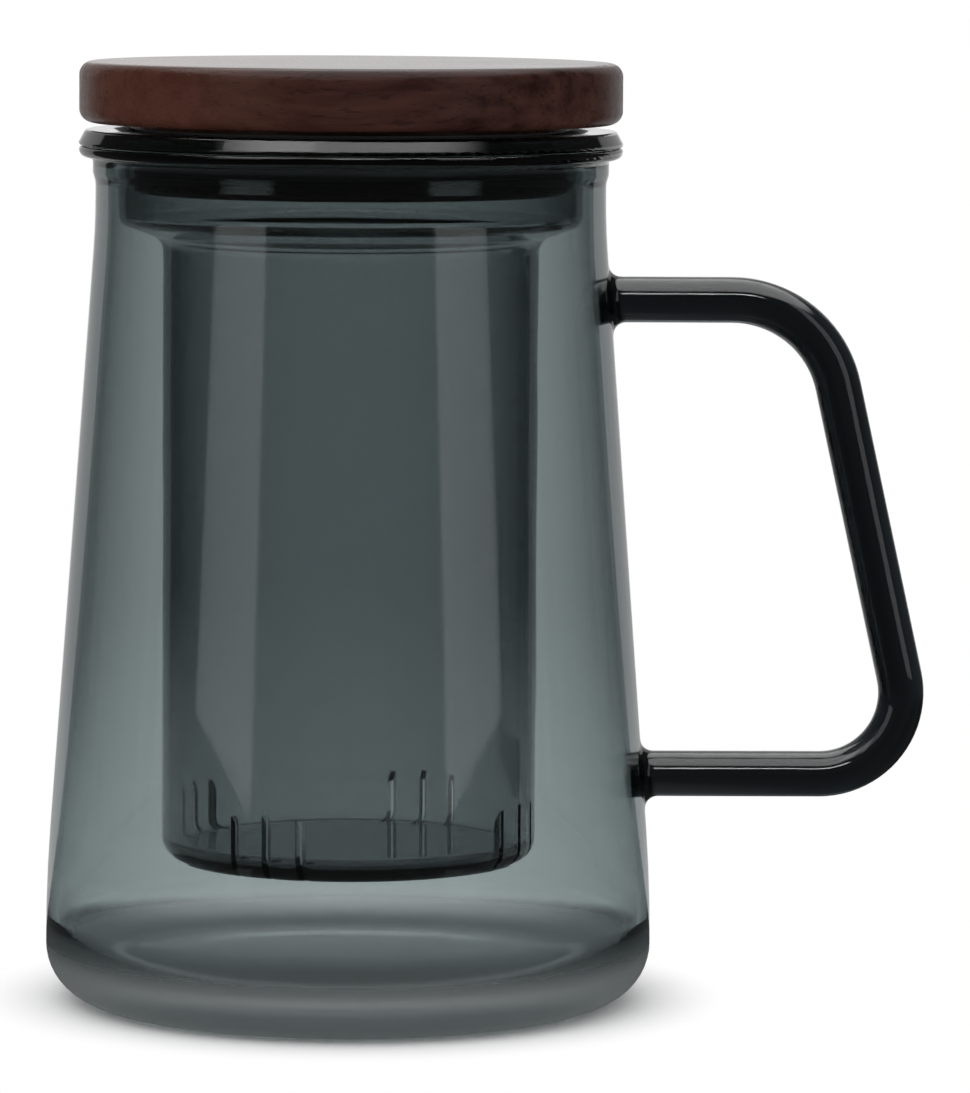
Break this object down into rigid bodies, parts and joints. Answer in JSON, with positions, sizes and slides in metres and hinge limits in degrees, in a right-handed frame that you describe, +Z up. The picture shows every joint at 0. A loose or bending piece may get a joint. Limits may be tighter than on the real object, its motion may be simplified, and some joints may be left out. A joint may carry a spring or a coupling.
{
  "type": "lidded infuser mug",
  "caption": "Smoked glass tea mug with a rod handle, a hanging glass infuser with saw-cut slits and a lift-off wooden lid with a sealing ring.",
  "frame": {"origin": "centre of the mug's foot, on the surface that it stands on", "axes": "+Z up, +X towards the handle, +Y away from the picture's camera"},
  "size_m": [0.1326, 0.0914, 0.1413],
  "materials": {
    "smoked_glass": "clear smoked grey-green glass, polished",
    "dark_rod_glass": "solid rod of the same smoked glass, nearly black through its thickness",
    "dark_wood": "dark reddish-brown walnut, fine straight grain, satin oil",
    "grey_silicone": "soft dark grey silicone"
  },
  "bodies": {
    "mug": {"mug_body": "smoked_glass", "handle": "dark_rod_glass"},
    "infuser": {"infuser": "smoked_glass"},
    "lid": {"lid": "dark_wood", "lid_seal": "grey_silicone"}
  },
  "joints": [
    {"name": "infuser_lift", "type": "slide", "parent": "mug", "child": "infuser", "axis": [0, 0, 1], "range_m": [0, 0.125]},
    {"name": "lid_lift", "type": "slide", "parent": "infuser", "child": "lid", "axis": [0, 0, 1], "range_m": [0, 0.04]}
  ]
}
